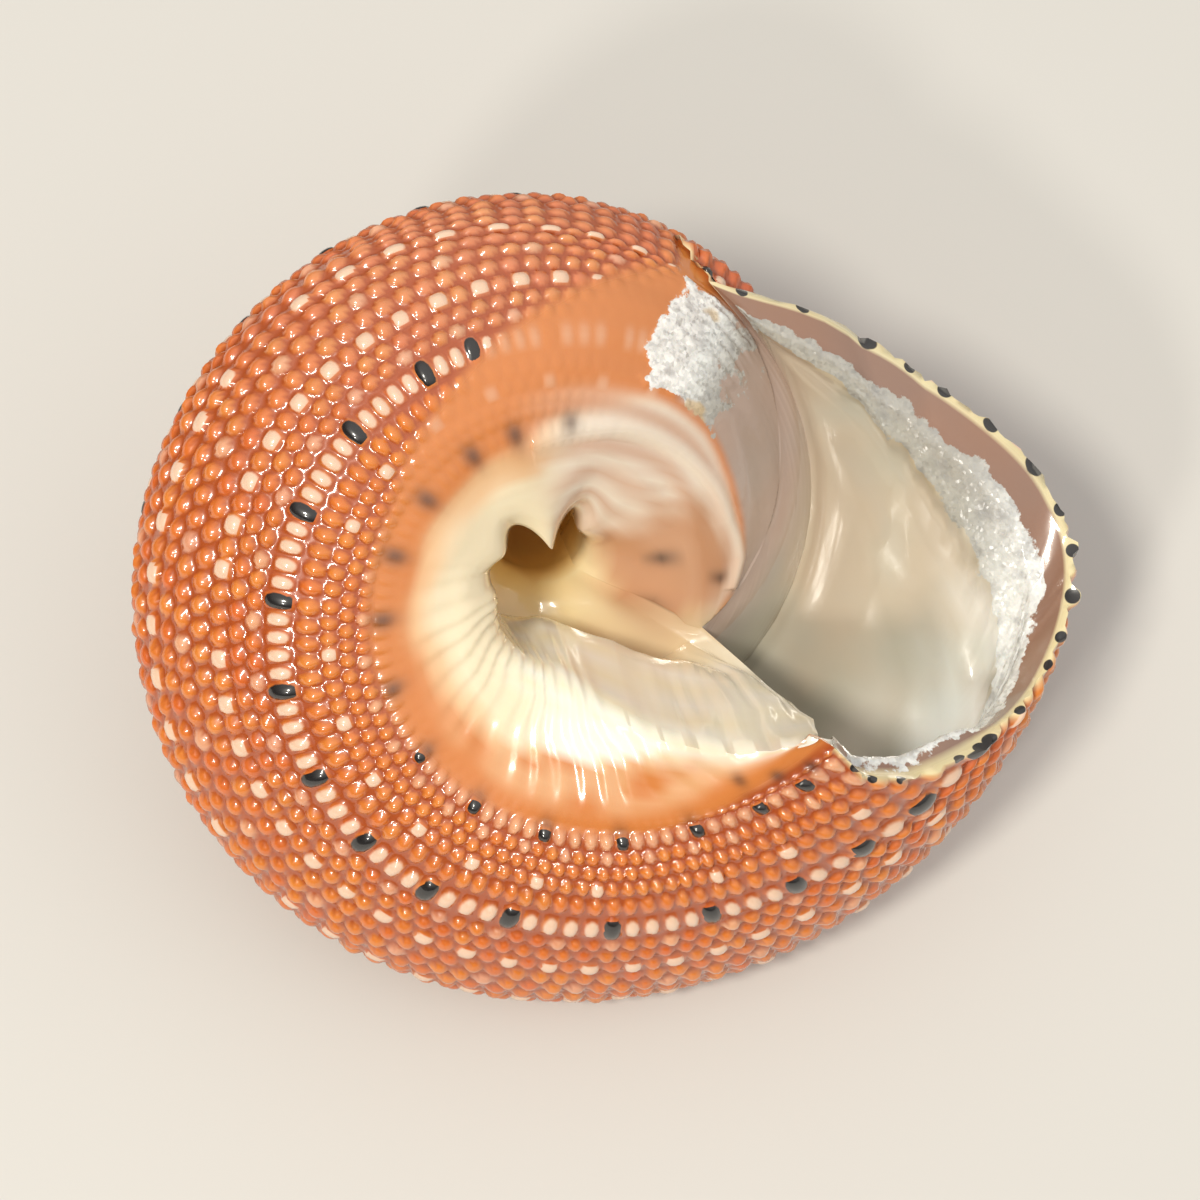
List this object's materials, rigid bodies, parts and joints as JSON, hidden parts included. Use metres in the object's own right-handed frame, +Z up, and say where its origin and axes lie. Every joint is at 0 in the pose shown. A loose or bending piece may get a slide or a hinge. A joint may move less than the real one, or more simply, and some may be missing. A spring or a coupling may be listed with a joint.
{
  "type": "strawberry top shell",
  "caption": "Small beaded top-shaped sea snail shell lying on its side, with a wide pearly mouth and a toothed navel in its base.",
  "frame": {"origin": "on the surface the shell lies on, under the middle of the shell's box", "axes": "+Z up; the base of the shell, with its mouth and navel, faces up and towards -Y; the tip of the spire is at the +Y side near the ground; the mouth is on the +X side"},
  "size_m": [0.0216, 0.0166, 0.0121],
  "materials": {
    "shell": "glossy orange-red beads with black and pale beads, creamy glaze round the navel, silvery mother-of-pearl in the mouth"
  },
  "bodies": {
    "root": {"shell": "shell"}
  },
  "joints": []
}
